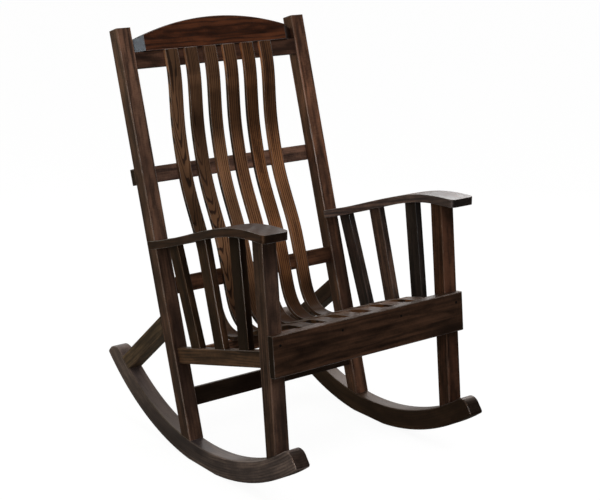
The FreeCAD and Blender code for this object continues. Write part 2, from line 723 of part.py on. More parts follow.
arch = doc.addObject("Part::Cylinder", "CrestArch")
bind(arch, "Radius", "Sheet.crest_arch")
bind(arch, "Height", "3 * Sheet.crest_thick")
place(arch, "post", "0", "post_along - crest_thick", "crest_bottom + crest_rise - crest_arch")
bind(arch, ".Placement.Rotation.Angle", "-90 - Sheet.post_lean")
crest = common([crest_body(), arch], "CrestArched")
doc.recompute()
post_turn = math.radians(size("post_lean"))
post_up = FreeCAD.Vector(0, math.sin(post_turn), math.cos(post_turn))
crest_low = FreeCAD.Vector(0, *to_world("post", size("post_along"), size("crest_bottom")))
picks = []
for index, edge in enumerate(crest.Shape.Edges, start=1):
    rises = [(vertex.Point - crest_low).dot(post_up) for vertex in edge.Vertexes]
    at_end = [size("clear_half") - abs(vertex.Point.x) < size("fit_gap")
              for vertex in edge.Vertexes]
    if min(rises) > size("crest_end_rise") - size("board_bevel") and not all(at_end):
        picks.append((index, "board_bevel"))
crest = dressed(crest, "CrestEased", picks)
crest_peg, crest_hole = tenon(
    "crest", "post", both("clear_half + tenon_reach"), centred("crest_end_mid", "crest_tenon"),
    ("crest_bottom + tenon_inset / 2", "crest_bottom + crest_end_rise - tenon_inset"))
for side in ("left", "right"):
    post_holes[side].append(crest_hole)
finish(fuse([crest, crest_peg], "CrestWhole"), "crest_rail")


# ----------------------------------------- legs, posts, side rails, arm slats
SPINDLES = ("front_spindle", "mid_spindle", "rear_spindle")
post_zone = fuse([seat_disc, block("PostAbove", "post", both("frame_width"),
                                   ("0", "2 * post_along"), ("0", "2 * post_top"))],
                 "PostZone")


def side_frame(side):
    """All the pieces of one side of the chair."""
    stock = side_of(side, "side_mid", "stock_width")
    square = side_of(side, "side_mid", "foot_tenon")
    thin = side_of(side, "side_mid", "tenon_thick")
    arm_holes = []
    rocker_holes = []
    leg_foot = "-1 * " + on_rocker("leg_mid")
    post_foot = "-1 * " + on_rocker("post_mid")
    leg_box = block("leg_box_" + side, "leg", stock, thick_from("leg_along", "stock_depth"),
                    (leg_foot + " - stock_depth", "trim_margin"))
    post_box = block("post_box_" + side, "post", stock,
                     thick_from("post_along", "stock_depth"),
                     (post_foot + " - stock_depth", "post_top"))

    rail_span = (meet_along("rail", "side_rail_mid", "leg", "leg_mid"),
                 meet_along("rail", "side_rail_mid", "post", "post_mid"))
    rail_box = block("rail_box_" + side, "rail", side_of(side, "side_mid", "side_rail_thick"),
                     rail_span, ("side_rail_top - side_rail_height", "side_rail_top"))
    rail_peg, hole = tenon("side_rail_" + side, "rail", thin, rail_span,
                           ("side_rail_top - side_rail_height + tenon_inset",
                            "side_rail_top - tenon_inset"))
    leg_holes[side].append(hole)
    post_holes[side].append(hole)
    shouldered = cut(eased(rail_box, 1, "board_bevel"), [leg_box, post_box],
                     "rail_shouldered_" + side)

    for name in SPINDLES:
        label = name + "_" + side
        edge = name + "_along"
        foot = meet_up(name, edge + " + spindle_width / 2", "rail", "side_rail_top")
        board = block(label + "_board", name, side_of(side, "side_mid", "spindle_thick"),
                      thick_from(edge, "spindle_width"),
                      (foot + " - tenon_inset", "trim_margin"))
        board = cut(eased(board, 2, "board_bevel"), [arm_level, rail_box], label + "_coped")
        peg, hole = tenon(label, name, thin,
                          (edge + " + tenon_inset", edge + " + spindle_width - tenon_inset"),
                          (foot + " - tenon_reach", "trim_margin"))
        arm_holes.append(hole)
        side_rail_holes[side].append(hole)
        peg = cut(peg, [arm_depth], label + "_peg")
        finish(fuse([board, peg], label + "_whole"), label)
    whole = fuse([shouldered, rail_peg], "rail_whole_" + side)
    finish(cut(whole, side_rail_holes[side], "rail_mortised_" + side), "side_rail_" + side)

    brace_start = meet_along("brace", "brace_mid", "post", "post_mid")
    brace_box = block("brace_box_" + side, "brace", stock, (brace_start, "rocker_radius"),
                      ("brace_top - brace_depth", "brace_top"))
    peg, hole = tenon("brace_" + side, "brace", square,
                      (brace_start, on_rocker("brace_mid") + " + foot_reach"),
                      centred("brace_mid", "foot_tenon"))
    post_holes[side].append(hole)
    rocker_holes.append(hole)
    seated = common([eased(brace_box, 1, "edge_bevel"), seat_disc], "brace_seated_" + side)
    coped = cut(seated, [post_box], "brace_coped_" + side)
    finish(fuse([coped, peg], "brace_whole_" + side), "rear_brace_" + side)

    foot, hole = tenon("leg_foot_" + side, "leg", square, centred("leg_mid", "foot_tenon"),
                       (leg_foot + " - foot_reach", leg_foot + " + foot_reach"))
    rocker_holes.append(hole)
    head, hole = tenon("leg_head_" + side, "leg", square, centred("leg_mid", "foot_tenon"),
                       ("apron_top", "trim_margin"))
    arm_holes.append(hole)
    head = cut(head, [arm_depth], "leg_head_short_" + side)
    seated = common([eased(leg_box, 2, "edge_bevel"), seat_disc], "leg_seated_" + side)
    coped = cut(seated, [arm_level], "leg_coped_" + side)
    whole = fuse([coped, foot, head], "leg_whole_" + side)
    finish(cut(whole, leg_holes[side], "leg_mortised_" + side), "front_leg_" + side)

    near = "arm_housing - half_width" if side == "left" else "0"
    far = "0" if side == "left" else "half_width - arm_housing"
    heights = ("side_rail_top", "0")
    notch = block("arm_notch_" + side, "post", (near, far), ("post_along", "2 * post_along"),
                  heights)
    tail = block("arm_tail_" + side, "post", both("frame_width"),
                 ("post_back - arm_tail_short", "2 * post_along"), heights)
    mortises = cut(fuse(arm_holes, "arm_holes_" + side), [arm_blind], "arm_mortises_" + side)
    arm = cut(arm_blanks[side], [notch, tail, mortises], "arm_cut_" + side)
    finish(arm, "arm_" + side)

    foot, hole = tenon("post_foot_" + side, "post", square, centred("post_mid", "foot_tenon"),
                       (post_foot + " - foot_reach", post_foot + " + foot_reach"))
    rocker_holes.append(hole)
    seated = common([eased(post_box, 2, "edge_bevel"), post_zone], "post_seated_" + side)
    whole = fuse([seated, foot], "post_whole_" + side)
    finish(cut(whole, post_holes[side] + [arm], "post_mortised_" + side),
           "back_post_" + side)

    finish(cut(rocker_blank(side), rocker_holes, "rocker_mortised_" + side),
           "rocker_" + side)


for side in ("left", "right"):
    side_frame(side)

# ----------------------------------------------------------------------- output
doc.recompute()
os.makedirs("parts", exist_ok=True)
for item in doc.Objects:
    if "Invalid" in item.State or "Error" in item.State:
        raise SystemExit("not rebuilt: %s %s" % (item.Name, item.State))
for item in nodes:
    shape = item.Shape
    if shape.isNull() or not shape.isValid() or len(shape.Solids) != 1:
        raise SystemExit("bad shape: %s with %d solids" % (item.Label, len(shape.Solids)))
    shape.exportStep("parts/%s.step" % item.Label)
    print("%-22s %10.0f mm3" % (item.Label, shape.Volume))
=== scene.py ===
"""Looks of the bent-slat rocking chair: stained hardwood, plugs, floor, light and camera.

The solids come from the frame and keep their shapes.  This file gives each one a
wood finish with the grain along its own length, adds the small wooden plugs over
the screws, and sets the stage.  Everything is in metres, in the frame's axes:
front towards -Y, +Z up, X = 0 on the plane of symmetry.
"""
import json
import math

import bpy
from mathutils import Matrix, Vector


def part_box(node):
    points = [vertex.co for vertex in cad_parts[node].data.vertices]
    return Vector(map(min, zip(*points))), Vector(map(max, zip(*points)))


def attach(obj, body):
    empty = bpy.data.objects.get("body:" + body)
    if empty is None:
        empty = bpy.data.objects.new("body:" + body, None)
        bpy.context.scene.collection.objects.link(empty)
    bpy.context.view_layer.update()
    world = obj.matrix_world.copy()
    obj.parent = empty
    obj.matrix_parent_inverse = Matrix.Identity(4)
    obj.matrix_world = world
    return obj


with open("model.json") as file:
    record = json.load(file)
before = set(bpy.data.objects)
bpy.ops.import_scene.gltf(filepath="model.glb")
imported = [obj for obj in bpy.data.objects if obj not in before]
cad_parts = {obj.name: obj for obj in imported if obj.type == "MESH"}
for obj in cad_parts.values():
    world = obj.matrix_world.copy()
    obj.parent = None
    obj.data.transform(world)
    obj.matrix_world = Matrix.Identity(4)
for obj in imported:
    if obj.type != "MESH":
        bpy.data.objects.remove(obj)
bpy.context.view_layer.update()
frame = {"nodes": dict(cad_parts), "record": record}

bl_info = {
    "name": "Rocking chair finish",
    "version": (1, 0, 0),
    "blender": (4, 5, 0),
    "location": "3D View > Sidebar > Rocking Chair",
    "description": "Finishes the slatted rocking chair and sets its stage",
    "category": "Object",
}

# Slopes in degrees: posts, legs and arm slats from the vertical, the seat frame and
# the braces from the level.
POST_LEAN = 16.65
LEG_LEAN = 5.71
SPINDLE_LEANS = {"front_spindle": 7.72, "mid_spindle": 16.4, "rear_spindle": 21.5}
RAIL_LEAN = 14.47
BRACE_LEAN = 39.4

# Axis of the rockers, and the radius of their middle line about it, in metres.
REST = next(mount for mount in frame["record"]["mounts"] if mount["name"] == "rest_left")
AXIS_Y = REST["pos_m"][1]
AXIS_Z = 0.6789
ROCKER_MIDDLE = 0.655
# Centre and radius, in metres, of the bend that the slats' figure follows.
SLAT_BEND = {"Centre Y": -0.10, "Centre Z": 0.56, "Mean Radius": 0.34, "Depth Share": 0.0}
SIDES = ("left", "right")


class ChairStain(bpy.types.PropertyGroup):
    """Colours and gloss of the stained wood."""

    shadow: bpy.props.FloatVectorProperty(
        name="Stain in the pores", description="Darkest tone, where the stain collects",
        subtype="COLOR", default=(0.0045, 0.0030, 0.0025), min=0, max=1)
    body: bpy.props.FloatVectorProperty(
        name="Stain", description="Middle tone of the frame pieces",
        subtype="COLOR", default=(0.048, 0.0258, 0.0174), min=0, max=1)
    warm: bpy.props.FloatVectorProperty(
        name="Rubbed stain", description="Lightest tone of the frame pieces",
        subtype="COLOR", default=(0.114, 0.0576, 0.036), min=0, max=1)
    slat_body: bpy.props.FloatVectorProperty(
        name="Slat stain", description="Middle tone of the bent slats and the crest",
        subtype="COLOR", default=(0.072, 0.032, 0.0145), min=0, max=1)
    slat_warm: bpy.props.FloatVectorProperty(
        name="Rubbed slat stain", description="Lightest tone of the bent slats",
        subtype="COLOR", default=(0.180, 0.082, 0.034), min=0, max=1)
    # Greyish light tone of the arrises: partly wear, partly a painted highlight along the
    # edges.
    edge_tone_with_highlight: bpy.props.FloatVectorProperty(
        name="Worn and highlit edge", description="Tone of the rubbed and highlit arrises",
        subtype="COLOR", default=(0.58, 0.54, 0.51), min=0, max=1)
    glance: bpy.props.FloatVectorProperty(
        name="Glance", description="Tint of the soft shine under the lacquer",
        subtype="COLOR", default=(1.0, 0.52, 0.26), min=0, max=1)
    clear_glance: bpy.props.FloatVectorProperty(
        name="Clear glance", description="The same, where the finish has stayed clearer",
        subtype="COLOR", default=(0.85, 0.80, 0.76), min=0, max=1)
    gloss: bpy.props.FloatProperty(
        name="Lacquer roughness", description="Roughness of the lacquer coat",
        subtype="FACTOR", default=0.16, min=0, max=1)
    edge: bpy.props.FloatProperty(
        name="Arris radius", description="Rounding of the edges seen in the highlights",
        unit="LENGTH", default=0.0022, min=0, max=0.02)


class ChairPlugs(bpy.types.PropertyGroup):
    """Small wooden plugs over the screws."""

    radius: bpy.props.FloatProperty(
        name="Plug radius", description="Radius of the plugs", unit="LENGTH",
        default=0.0032, min=0.001, max=0.02)
    rise: bpy.props.FloatProperty(
        name="Plug rise", description="How far the crown stands out of the face",
        unit="LENGTH", default=0.0006, min=0, max=0.01)
    sunk: bpy.props.FloatProperty(
        name="Plug depth", description="How deep the plugs sit in the wood",
        unit="LENGTH", default=0.0025, min=0.0005, max=0.02)
    drop: bpy.props.FloatProperty(
        name="Below the apron top", description="Plug centres under the apron's top edge",
        unit="LENGTH", default=0.025, min=0, max=0.1)
    rail_drop: bpy.props.FloatProperty(
        name="Below the rail top",
        description="Plug centres under the rear rail's top edge",
        unit="LENGTH", default=0.0216, min=0, max=0.1)
    inner: bpy.props.FloatProperty(
        name="Inner plugs", description="Inner plugs of the apron from the middle",
        unit="LENGTH", default=0.0945, min=0, max=0.3)


class ChairStage(bpy.types.PropertyGroup):
    """Floor, light and camera."""

    floor: bpy.props.FloatVectorProperty(
        name="Floor", description="Colour of the floor and backdrop",
        subtype="COLOR", default=(0.93, 0.93, 0.93), min=0, max=1)
    glow: bpy.props.FloatProperty(
        name="Floor lift", description="Share of the floor's brightness that has no shadow",
        subtype="FACTOR", default=0.85, min=0, max=1)
    fill: bpy.props.FloatProperty(
        name="Studio fill", description="Strength of the light from all round",
        default=0.38, min=0, max=10)
    sheen: bpy.props.FloatProperty(
        name="Backdrop sheen", description="Brightness of the backdrop in reflections",
        default=1.08, min=0, max=10)
    floor_sheen: bpy.props.FloatProperty(
        name="Floor sheen", description="Brightness of the floor behind in reflections",
        default=0.08, min=0, max=10)
    gloom: bpy.props.FloatProperty(
        name="Room sheen", description="Brightness of the dark room in reflections",
        default=0.015, min=0, max=10)
    key: bpy.props.FloatProperty(
        name="Key light", description="Power of the large light above the front",
        unit="POWER", default=46.0, min=0, max=5000)
    back: bpy.props.FloatProperty(
        name="Back light", description="Power of the light behind the right arm",
        unit="POWER", default=9.0, min=0, max=5000)
    rear: bpy.props.FloatProperty(
        name="Rear light", description="Power of the light behind the left side",
        unit="POWER", default=14.0, min=0, max=5000)
    near: bpy.props.FloatProperty(
        name="Near light",
        description="Power of the cool light that the crest's bevels show",
        unit="POWER", default=22.0, min=0, max=5000)
    strip: bpy.props.FloatProperty(
        name="Strip light", description="Power of the strip that the left arrises show",
        unit="POWER", default=36.0, min=0, max=5000)
    lens: bpy.props.FloatProperty(
        name="Lens", description="Focal length on a 36 mm sensor, in millimetres",
        default=83.254, min=10, max=500)
    yaw: bpy.props.FloatProperty(
        name="Camera yaw", description="Turn of the camera towards +X",
        subtype="ANGLE", default=0.6471)
    pitch: bpy.props.FloatProperty(
        name="Camera pitch", description="Tilt of the camera, negative is down",
        subtype="ANGLE", default=-0.26685)
    stand: bpy.props.FloatVectorProperty(
        name="Camera stand", description="Camera from the foot of the rocker axis",
        subtype="TRANSLATION", default=(-2.1163, -2.8271, 1.5015))


# ------------------------------------------------------------------ node groups
def make_group(name, inputs, outputs):
    """An empty shader group with float (f) and vector (v) sockets."""
    kinds = {"f": "NodeSocketFloat", "v": "NodeSocketVector"}
    group = bpy.data.node_groups.new(name, "ShaderNodeTree")
    for label, kind, value in inputs:
        socket = group.interface.new_socket(
            name=label, in_out="INPUT", socket_type=kinds[kind])
        if value is not None:
            socket.default_value = value
    for label, kind in outputs:
        group.interface.new_socket(name=label, in_out="OUTPUT", socket_type=kinds[kind])
    group.nodes.new("NodeGroupInput").name = "In"
    group.nodes.new("NodeGroupOutput").name = "Out"
    return group


# Sockets of a Mix node for colours and for values: factor, first, second, result.
MIX_COLOURS = (0, 6, 7, 2)
MIX_VALUES = (0, 2, 3, 0)


class Wiring:
    """Short ways to add and join the nodes of one tree."""

    def __init__(self, tree):
        self.tree = tree

    def add(self, kind, values=None, **settings):
        node = self.tree.nodes.new(kind)
        for name, value in settings.items():
            setattr(node, name, value)
        for socket, value in (values or {}).items():
            self.feed(node.inputs[socket], value)
        return node

    def feed(self, socket, value):
        if isinstance(value, bpy.types.NodeSocket):
            self.tree.links.new(value, socket)
        else:
            socket.default_value = value

    def math(self, operation, *values):
        node = self.add("ShaderNodeMath", dict(enumerate(values)), operation=operation)
        return node.outputs[0]

    def vector(self, operation, *values):
        node = self.add("ShaderNodeVectorMath", dict(enumerate(values)),
                        operation=operation)
        return node.outputs[0]

    def dot(self, first, second):
        node = self.add("ShaderNodeVectorMath", {0: first, 1: second},
                        operation="DOT_PRODUCT")
        return node.outputs["Value"]

    def split(self, value):
        return self.add("ShaderNodeSeparateXYZ", {"Vector": value}).outputs

    def spread(self, value, low, high, to_low=0.0, to_high=1.0):
        """Smooth step of a value, from one range to another."""
        node = self.add("ShaderNodeMapRange", {
            "Value": value, "From Min": low, "From Max": high,
            "To Min": to_low, "To Max": to_high}, interpolation_type="SMOOTHSTEP")
        return node.outputs[0]

    def noise(self, where, scale, detail=3.0, roughness=0.55):
        return self.add("ShaderNodeTexNoise", {
            "Vector": where, "Scale": scale, "Detail": detail, "Roughness": roughness})

    def stretched(self, where, marks, **how):
        """Noise with its own number of marks per metre along each axis."""
        return self.noise(self.vector("MULTIPLY", where, Vector(marks)), 1.0, **how)

    def mix(self, sockets, factor, first, second, **settings):
        node = self.add("ShaderNodeMix", dict(zip(sockets, (factor, first, second))),
                        **settings)
        return node.outputs[sockets[-1]]

    def blend(self, factor, first, second, mode="MIX"):
        return self.mix(MIX_COLOURS, factor, first, second,
                        data_type="RGBA", blend_type=mode)

    def choose(self, factor, first, second):
        return self.mix(MIX_VALUES, factor, first, second, data_type="FLOAT")

    def show(self, shade, kind="ShaderNodeOutputMaterial"):
        self.add(kind, {"Surface": shade})


def cleared(shaded):
    """Wiring for a new material or world, with its nodes cleared away."""
    shaded.use_nodes = True
    shaded.node_tree.nodes.clear()
    return Wiring(shaded.node_tree)


# Marks in the wood per metre: across, through and along the board.
WARP_MARKS = (14.0, 14.0, 4.2)
FIBRE_MARKS = (420.0, 420.0, 6.0)
STREAK_MARKS = (90.0, 90.0, 2.2)
FLECK_MARKS = (110.0, 110.0, 330.0)
PORE_MARKS = (950.0, 950.0, 26.0)
CLOUD_MARKS = (9.0, 9.0, 3.4)
FLAME_MARKS = (42.0, 42.0, 13.0)
# How far one step of the seed moves the marks along each axis, in metres.
SEED_STEP = (0.37, 0.73, 1.31)
# Where in a ring its tone rises and falls, and where its pores thin out, and to what.
RING_RISE = (0.0, 0.45)
RING_FALL = (0.80, 1.0, 1.0, 0.0)
PORES_THIN = (0.0, 0.4, 1.0, 0.3)
# Where the noise of the pores and of the smudges begins to show, and shows in full.
PORE_EDGE = (0.54, 0.68)
SMUDGE_EDGE = (0.40, 0.66)
# How much each mark counts in the tone, and what they come to on average.
FLAME_SHARE, STREAK_SHARE, FIBRE_SHARE, FLECK_SHARE = 0.75, 0.75, 0.65, 0.35
MEAN_MARKS = 0.86
# How high the fibres stand and how deep the pores lie, against each other.
FIBRE_RISE, PORE_SINK = 0.35, 0.65


def board_grain():
    """Figure, fibres, pores and smudges of a board whose length runs along Z."""
    group = make_group(
        "Board grain",
        [("Vector", "v", None), ("Seed", "f", 0.0), ("Ring Width", "f", 0.006),
         ("Figure", "f", 0.5), ("Pith Offset", "f", 0.05), ("Wander", "f", 0.02),
         ("Taper", "f", 0.02), ("Contrast", "f", 1.8)],
        [("Tone", "f"), ("Pores", "f"), ("Smudge", "f"), ("Height", "f")])
    w = Wiring(group)
    given = group.nodes["In"].outputs
    out = group.nodes["Out"].inputs
    shift = w.add("ShaderNodeCombineXYZ", {
        axis: w.math("MULTIPLY", given["Seed"], step)
        for axis, step in zip("XYZ", SEED_STEP)}).outputs[0]
    seeded = w.vector("ADD", given["Vector"], shift)

    warp = w.stretched(seeded, WARP_MARKS, roughness=0.5)
    bend = w.vector("SUBTRACT", warp.outputs["Color"], Vector((0.5, 0.5, 0.5)))
    bend = w.add("ShaderNodeVectorMath", {0: bend, "Scale": given["Wander"]},
                 operation="SCALE").outputs[0]
    across, through, length = w.split(w.vector("ADD", given["Vector"], bend))
    deep = w.math("ADD", through, given["Pith Offset"])
    radius = w.math("SQRT", w.math("ADD", w.math("MULTIPLY", across, across),
                                   w.math("MULTIPLY", deep, deep)))
    radius = w.math("ADD", radius, w.math("MULTIPLY", length, given["Taper"]))
    phase = w.math("FRACT", w.math("DIVIDE", radius, given["Ring Width"]))
    ring = w.math("MULTIPLY", w.spread(phase, *RING_RISE), w.spread(phase, *RING_FALL))

    fibre = w.stretched(seeded, FIBRE_MARKS, detail=4.0, roughness=0.6).outputs[0]
    streak = w.stretched(seeded, STREAK_MARKS, roughness=0.5).outputs[0]
    fleck = w.stretched(seeded, FLECK_MARKS, detail=2.0, roughness=0.5).outputs[0]
    pore = w.stretched(seeded, PORE_MARKS, detail=1.0, roughness=0.4).outputs[0]
    pore = w.math("MULTIPLY", w.spread(pore, *PORE_EDGE), w.spread(phase, *PORES_THIN))
    smudge = w.stretched(seeded, CLOUD_MARKS, detail=4.0, roughness=0.6).outputs[0]
    flame = w.stretched(seeded, FLAME_MARKS).outputs[0]

    figure = w.math("MULTIPLY", w.math("SUBTRACT", ring, 0.5), given["Figure"])
    flame = w.math("MULTIPLY", w.math("SUBTRACT", flame, 0.5), FLAME_SHARE)
    figure = w.math("ADD", figure, flame)
    tone = w.math("ADD", w.math("MULTIPLY", streak, STREAK_SHARE),
                  w.math("MULTIPLY", fibre, FIBRE_SHARE))
    tone = w.math("ADD", tone, w.math("MULTIPLY", fleck, FLECK_SHARE))
    tone = w.math("ADD", w.math("SUBTRACT", tone, MEAN_MARKS), figure)
    tone = w.math("ADD", w.math("MULTIPLY", tone, given["Contrast"]), 0.5)
    w.feed(out["Tone"], w.add("ShaderNodeClamp", {"Value": tone}).outputs[0])
    w.feed(out["Pores"], pore)
    w.feed(out["Smudge"], w.spread(smudge, *SMUDGE_EDGE))
    w.feed(out["Height"], w.math("SUBTRACT", w.math("MULTIPLY", fibre, FIBRE_RISE),
                                 w.math("MULTIPLY", pore, PORE_SINK)))
    return group


def bend_round():
    """Straightens a piece bent round an axis along X, and says where it shows its ends."""
    group = make_group(
        "Bent length",
        [("Vector", "v", None), ("Centre Y", "f", 0.0), ("Centre Z", "f", 0.0),
         ("Mean Radius", "f", 0.5), ("Depth Share", "f", 1.0)],
        [("Vector", "v"), ("End", "f")])
    w = Wiring(group)
    given = group.nodes["In"].outputs
    out = group.nodes["Out"].inputs
    across, back, up = w.split(given["Vector"])
    y = w.math("SUBTRACT", back, given["Centre Y"])
    z = w.math("SUBTRACT", up, given["Centre Z"])
    far = w.math("SQRT", w.math("ADD", w.math("MULTIPLY", y, y), w.math("MULTIPLY", z, z)))
    turn = w.math("ARCTAN2", w.math("MULTIPLY", y, -1.0), w.math("MULTIPLY", z, -1.0))
    along = w.math("MULTIPLY", turn, given["Mean Radius"])
    deep = w.math("MULTIPLY", w.math("SUBTRACT", far, given["Mean Radius"]),
                  given["Depth Share"])
    joined = w.add("ShaderNodeCombineXYZ", {"X": across, "Y": deep, "Z": along})
    w.feed(out["Vector"], joined.outputs[0])
    facing = w.split(w.add("ShaderNodeNewGeometry").outputs["Normal"])
    swept = w.math("SUBTRACT", w.math("MULTIPLY", facing[1], z),
                   w.math("MULTIPLY", facing[2], y))
    w.feed(out["End"], w.math("DIVIDE", swept, far))
    return group


# How alike the rounded and the flat normal are where the lighter edge begins, and where it
# is full.
ARRIS_TURN = (0.995, 0.90)
# Patches of the lighter edge per metre, and from what and to what they break it up.
ARRIS_MARKS = 22.0
ARRIS_PATCHES = (0.38, 0.62, 0.35, 1.0)


def arris_mask():
    """One along the arrises and nothing on the flats, broken up along the edge."""
    group = make_group(
        "Rubbed arris",
        [("Soft Normal", "v", None), ("Position", "v", None), ("Amount", "f", 1.0)],
        [("Mask", "f")])
    w = Wiring(group)
    given = group.nodes["In"].outputs
    flat = w.add("ShaderNodeNewGeometry").outputs["True Normal"]
    edge = w.spread(w.dot(given["Soft Normal"], flat), *ARRIS_TURN)
    patches = w.noise(given["Position"], ARRIS_MARKS).outputs[0]
    patches = w.spread(patches, *ARRIS_PATCHES)
    mask = w.math("MULTIPLY", w.math("MULTIPLY", edge, patches), given["Amount"])
    w.feed(group.nodes["Out"].inputs["Mask"], mask)
    return group


GROUPS = {}


def use_group(wiring, key, values):
    """A group placed in a material; the groups are built once, on first use."""
    if not GROUPS:
        GROUPS.update(grain=board_grain(), bent=bend_round(), arris=arris_mask())
    return wiring.add("ShaderNodeGroup", values, node_tree=GROUPS[key])


# -------------------------------------------------------------------- materials
# Tone of the darkest grain against the board's middle tone, in red, green and blue.
DARK_GRAIN = (0.34, 0.38, 0.46)
# Places of the dark, middle and light tones in the range of the grain.
TONE_STOPS = (0.10, 0.48, 0.92)
# How much of the stain's darkest tone the pores and the end grain take.
PORE_DARK = 0.75
END_DARK = 0.85
# How far a face turns to the grain before it shows end grain, and shows it in full.
BOARD_ENDS = (0.62, 0.86)
CREST_ENDS = (0.25, 0.45)
# Roughness of the dark and of the light grain, and the weight of the lacquer on it.
GRAIN_ROUGHNESS = (0.38, 0.52)
LACQUER = 0.2
# Strength of the grain's relief, and its depth in metres.
RELIEF, RELIEF_DEPTH = 0.35, 0.0005
# Heights, in metres, over which the slats' rubbing and painted shade and light run.
RUB_AND_SHADE_FROM, RUB_AND_SHADE_TO = 0.27, 1.05


def tone_ramp(w, value, stops, interpolation="LINEAR"):
    """Colour of a value along (place, colour) stops."""
    node = w.add("ShaderNodeValToRGB", {"Fac": value})
    band = node.color_ramp
    band.interpolation = interpolation
    for at, _ in stops[1:-1]:
        band.elements.new(at)
    for element, (at, colour) in zip(band.elements, stops):
        element.position = at
        element.color = (*colour, 1)
    return node.outputs[0]


def stained_wood(name, seed, lay, body, warm, figure, ring, pith, smudge, contrast,
                 wander=0.02, taper=0.02, edge_rub_and_highlight=0.6, tint=(1.0, 1.0, 1.0), rubbed=(),
                 ends=BOARD_ENDS, clear=False):
    """One board's finish, with its grain along the board or round its bend.

    The lay is ("straight", rotation, centre) or ("bent", bend, centre).  Figure and
    contrast say how strong the rings and the whole grain are, and ring is a ring's
    width.  Pith is how far behind the board the heart of the tree lies, wander is how
    far the rings stray from it, and taper is how they open along the board.  Tint holds
    the stain's tint together with painted light and shade.  Rubbed is the lightness up
    the height, rubbed stain and painted shade together, and edge_rub_and_highlight is
    the share of the arrises' lighter tone, wear and a painted highlight together.
    """
    stain = bpy.context.scene.chair_stain
    # The tint holds painted light and shade as well as the stain.
    body = [t * c for t, c in zip(tint, body)]
    warm = [t * c for t, c in zip(tint, warm)]
    dark = [share * c for share, c in zip(DARK_GRAIN, body)]
    material = bpy.data.materials.new(name)
    w = cleared(material)
    kind, course, centre = lay
    place = w.add("ShaderNodeTexCoord").outputs["Object"]
    centred = w.add("ShaderNodeMapping", {"Vector": place, "Location": -centre}).outputs[0]
    if kind == "straight":
        board = w.add("ShaderNodeMapping", {
            "Vector": centred, "Rotation": course}).outputs[0]
        facing = w.add("ShaderNodeMapping", {
            "Vector": w.add("ShaderNodeNewGeometry").outputs["Normal"],
            "Rotation": course}, vector_type="VECTOR").outputs[0]
        along = w.split(facing)[2]
    else:
        board, along = use_group(w, "bent", {"Vector": centred, **course}).outputs
    end_grain = w.spread(w.math("ABSOLUTE", along), *ends, 0.0, END_DARK)
    grain = use_group(w, "grain", {
        "Vector": board, "Seed": seed, "Ring Width": ring, "Figure": figure,
        "Pith Offset": pith, "Wander": wander, "Taper": taper, "Contrast": contrast})
    colour = tone_ramp(w, grain.outputs["Tone"], list(zip(TONE_STOPS, (dark, body, warm))))
    colour = w.blend(w.math("MULTIPLY", grain.outputs["Smudge"], smudge), colour,
                     (*dark, 1))
    colour = w.blend(w.math("MULTIPLY", grain.outputs["Pores"], PORE_DARK), colour,
                     (*stain.shadow, 1))
    colour = w.blend(end_grain, colour, (*stain.shadow, 1))
    # Lightness up the height: rubbed stain together with painted shade and painted light.
    if rubbed:
        way = w.add("ShaderNodeMapRange", {
            "Value": w.split(place)[2], "From Min": RUB_AND_SHADE_FROM, "From Max": RUB_AND_SHADE_TO})
        light = tone_ramp(w, way.outputs[0],
                          [(at, (value,) * 3) for at, value in rubbed], "EASE")
        colour = w.blend(1.0, colour, light, "MULTIPLY")
    soft = w.add("ShaderNodeBevel", {"Radius": stain.edge}, samples=6).outputs[0]
    arris = use_group(w, "arris", {"Soft Normal": soft, "Position": place, "Amount": edge_rub_and_highlight})
    # Lighter arrises: wear together with a painted highlight.
    colour = w.blend(arris.outputs["Mask"], colour, (*stain.edge_tone_with_highlight, 1))
    bump = w.add("ShaderNodeBump", {
        "Strength": RELIEF, "Distance": RELIEF_DEPTH,
        "Height": grain.outputs["Height"], "Normal": soft}).outputs[0]
    glance = stain.clear_glance if clear else stain.glance
    shader = w.add("ShaderNodeBsdfPrincipled", {
        "Base Color": colour,
        "Roughness": w.spread(grain.outputs["Tone"], 0.0, 1.0, *GRAIN_ROUGHNESS),
        "Normal": bump, "Specular IOR Level": 0.5, "Specular Tint": (*glance, 1),
        "Coat Weight": LACQUER, "Coat Roughness": stain.gloss})
    w.show(shader.outputs[0])
    return material


def dress(node, material):
    """Gives a solid its finish without touching its mesh."""
    mesh = frame["nodes"][node].data
    mesh.materials.clear()
    mesh.materials.append(material)


def middle_of(node):
    low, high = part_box(node)
    return (low + high) / 2


def leaning(degrees):
    """Turn of the grain of a board that leans back."""
    return (math.radians(degrees), 0.0, 0.0)


def crosswise(degrees):
    """Turn of the grain of a leaning board that lies across the chair."""
    return (math.radians(degrees), math.radians(-90.0), 0.0)


